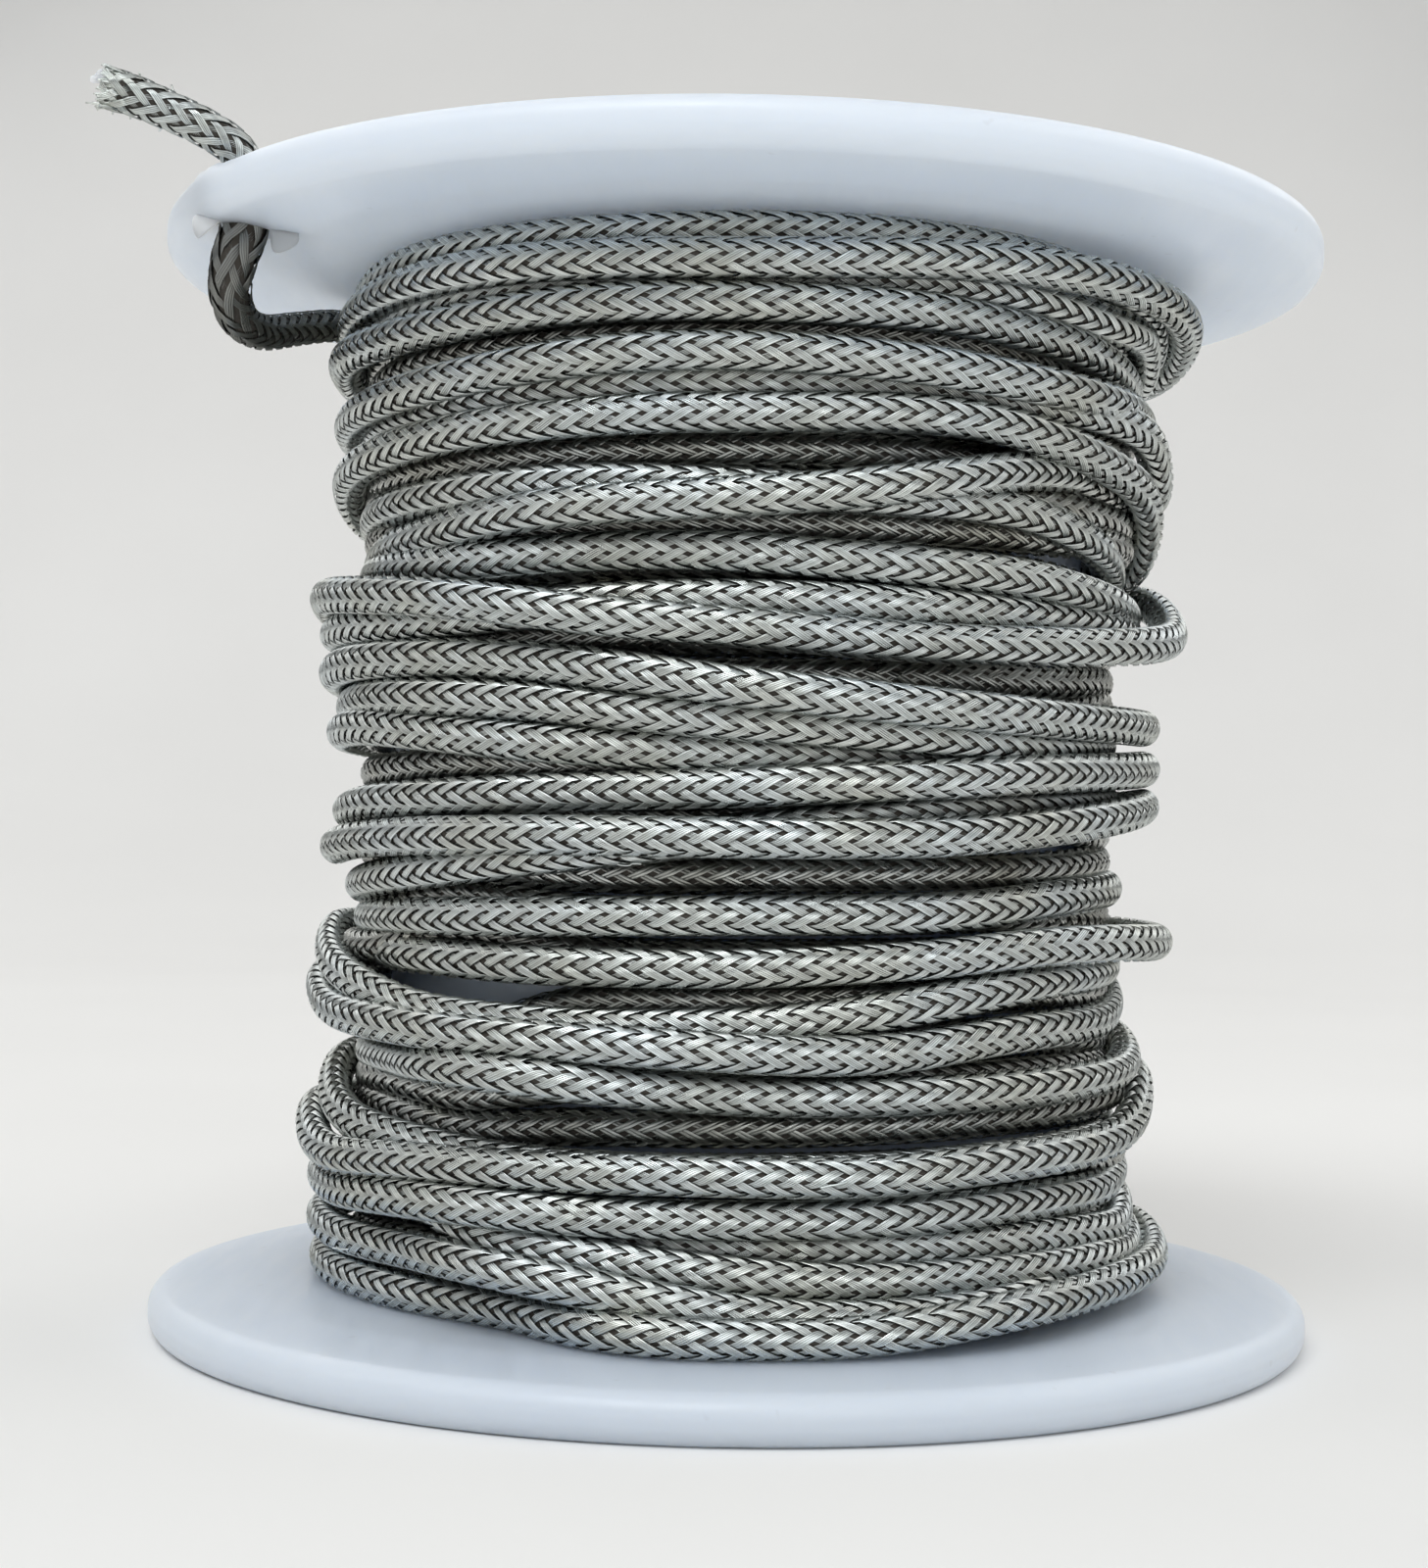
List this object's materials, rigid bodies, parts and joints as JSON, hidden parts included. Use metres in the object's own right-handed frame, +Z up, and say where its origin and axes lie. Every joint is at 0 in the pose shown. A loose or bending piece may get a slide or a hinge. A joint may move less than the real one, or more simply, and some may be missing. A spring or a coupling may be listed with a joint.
{
  "type": "spool of tubular braid",
  "caption": "Small white plastic spool with round flanges, wound in layers with tubular tinned-copper braid whose cut end leaves through a punched flange hole.",
  "frame": {"origin": "on the spool's axis, at the surface that the lower flange stands on", "axes": "+Z up the spool's axis; the braid's free end leaves on the -X side; the picture looks along +Y"},
  "size_m": [0.0644, 0.0636, 0.065],
  "materials": {
    "spool_plastic": "satin moulded white plastic, slightly translucent",
    "braid_metal": "fine tinned copper wires, lightly tarnished"
  },
  "bodies": {
    "root": {"upper_flange": "spool_plastic", "lower_flange": "spool_plastic", "barrel": "spool_plastic", "winding_core": "braid_metal", "winding_outer_turns": "braid_metal", "braid_lead": "braid_metal"}
  },
  "joints": []
}
